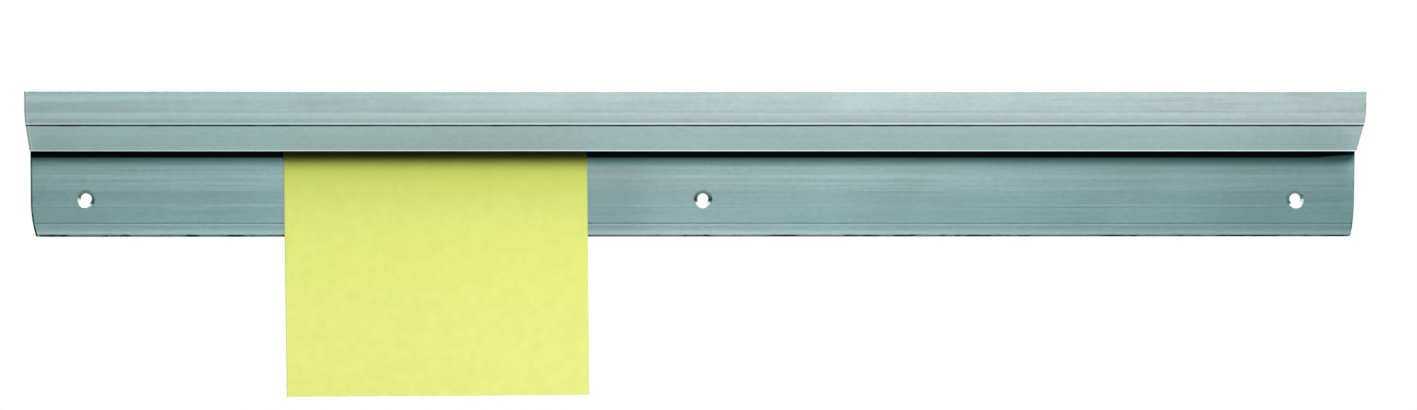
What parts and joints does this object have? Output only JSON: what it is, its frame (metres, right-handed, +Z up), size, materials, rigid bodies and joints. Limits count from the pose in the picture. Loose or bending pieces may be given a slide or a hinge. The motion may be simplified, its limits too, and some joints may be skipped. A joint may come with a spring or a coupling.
{
  "type": "order ticket rail",
  "caption": "Wall-mounted ticket rail: an aluminium extrusion whose hooded channel holds loose glass marbles that pinch paper slips pushed up behind its lip.",
  "frame": {"origin": "On the wall face of the plate, at the middle of the rail's length and at the height of the screw holes.", "axes": "+X runs along the rail to the viewer's right, +Y points into the wall, +Z is up."},
  "size_m": [0.6096, 0.0224, 0.1427],
  "materials": {
    "aluminium": "satin",
    "plug_plastic": "matte",
    "marble_glass": "gloss",
    "yellow_paper": "matte"
  },
  "bodies": {
    "rail": {"rail_extrusion": "aluminium", "end_plug_left": "plug_plastic", "end_plug_right": "plug_plastic"},
    "slip": {"order_slip": "yellow_paper"},
    "ball_01": {"marble_01": "marble_glass"},
    "ball_02": {"marble_02": "marble_glass"},
    "ball_03": {"marble_03": "marble_glass"},
    "ball_04": {"marble_04": "marble_glass"},
    "ball_05": {"marble_05": "marble_glass"},
    "ball_06": {"marble_06": "marble_glass"},
    "ball_07": {"marble_07": "marble_glass"},
    "ball_08": {"marble_08": "marble_glass"},
    "ball_09": {"marble_09": "marble_glass"},
    "ball_10": {"marble_10": "marble_glass"},
    "ball_11": {"marble_11": "marble_glass"},
    "ball_12": {"marble_12": "marble_glass"},
    "ball_13": {"marble_13": "marble_glass"},
    "ball_14": {"marble_14": "marble_glass"},
    "ball_15": {"marble_15": "marble_glass"},
    "ball_16": {"marble_16": "marble_glass"},
    "ball_17": {"marble_17": "marble_glass"},
    "ball_18": {"marble_18": "marble_glass"}
  },
  "joints": [
    {"name": "slip_pull", "type": "slide", "parent": "rail", "child": "slip", "axis": [0, 0, -1], "range_m": [0, 0.031]},
    {"name": "ball_01_lift", "type": "slide", "parent": "rail", "child": "ball_01", "axis": [0, -0.7408, 0.6717], "range_m": [0, 0.0037]},
    {"name": "ball_02_lift", "type": "slide", "parent": "rail", "child": "ball_02", "axis": [0, -0.7408, 0.6717], "range_m": [0, 0.0037]},
    {"name": "ball_03_lift", "type": "slide", "parent": "rail", "child": "ball_03", "axis": [0, -0.7408, 0.6717], "range_m": [0, 0.0037]},
    {"name": "ball_04_lift", "type": "slide", "parent": "rail", "child": "ball_04", "axis": [0, -0.7408, 0.6717], "range_m": [0, 0.0029]},
    {"name": "ball_05_lift", "type": "slide", "parent": "rail", "child": "ball_05", "axis": [0, -0.7408, 0.6717], "range_m": [0, 0.0029]},
    {"name": "ball_06_lift", "type": "slide", "parent": "rail", "child": "ball_06", "axis": [0, -0.7408, 0.6717], "range_m": [0, 0.0029]},
    {"name": "ball_07_lift", "type": "slide", "parent": "rail", "child": "ball_07", "axis": [0, -0.7408, 0.6717], "range_m": [0, 0.0029]},
    {"name": "ball_08_lift", "type": "slide", "parent": "rail", "child": "ball_08", "axis": [0, -0.7408, 0.6717], "range_m": [0, 0.0029]},
    {"name": "ball_09_lift", "type": "slide", "parent": "rail", "child": "ball_09", "axis": [0, -0.7408, 0.6717], "range_m": [0, 0.0037]},
    {"name": "ball_10_lift", "type": "slide", "parent": "rail", "child": "ball_10", "axis": [0, -0.7408, 0.6717], "range_m": [0, 0.0037]},
    {"name": "ball_11_lift", "type": "slide", "parent": "rail", "child": "ball_11", "axis": [0, -0.7408, 0.6717], "range_m": [0, 0.0037]},
    {"name": "ball_12_lift", "type": "slide", "parent": "rail", "child": "ball_12", "axis": [0, -0.7408, 0.6717], "range_m": [0, 0.0037]},
    {"name": "ball_13_lift", "type": "slide", "parent": "rail", "child": "ball_13", "axis": [0, -0.7408, 0.6717], "range_m": [0, 0.0037]},
    {"name": "ball_14_lift", "type": "slide", "parent": "rail", "child": "ball_14", "axis": [0, -0.7408, 0.6717], "range_m": [0, 0.0037]},
    {"name": "ball_15_lift", "type": "slide", "parent": "rail", "child": "ball_15", "axis": [0, -0.7408, 0.6717], "range_m": [0, 0.0037]},
    {"name": "ball_16_lift", "type": "slide", "parent": "rail", "child": "ball_16", "axis": [0, -0.7408, 0.6717], "range_m": [0, 0.0037]},
    {"name": "ball_17_lift", "type": "slide", "parent": "rail", "child": "ball_17", "axis": [0, -0.7408, 0.6717], "range_m": [0, 0.0037]},
    {"name": "ball_18_lift", "type": "slide", "parent": "rail", "child": "ball_18", "axis": [0, -0.7408, 0.6717], "range_m": [0, 0.0037]}
  ]
}
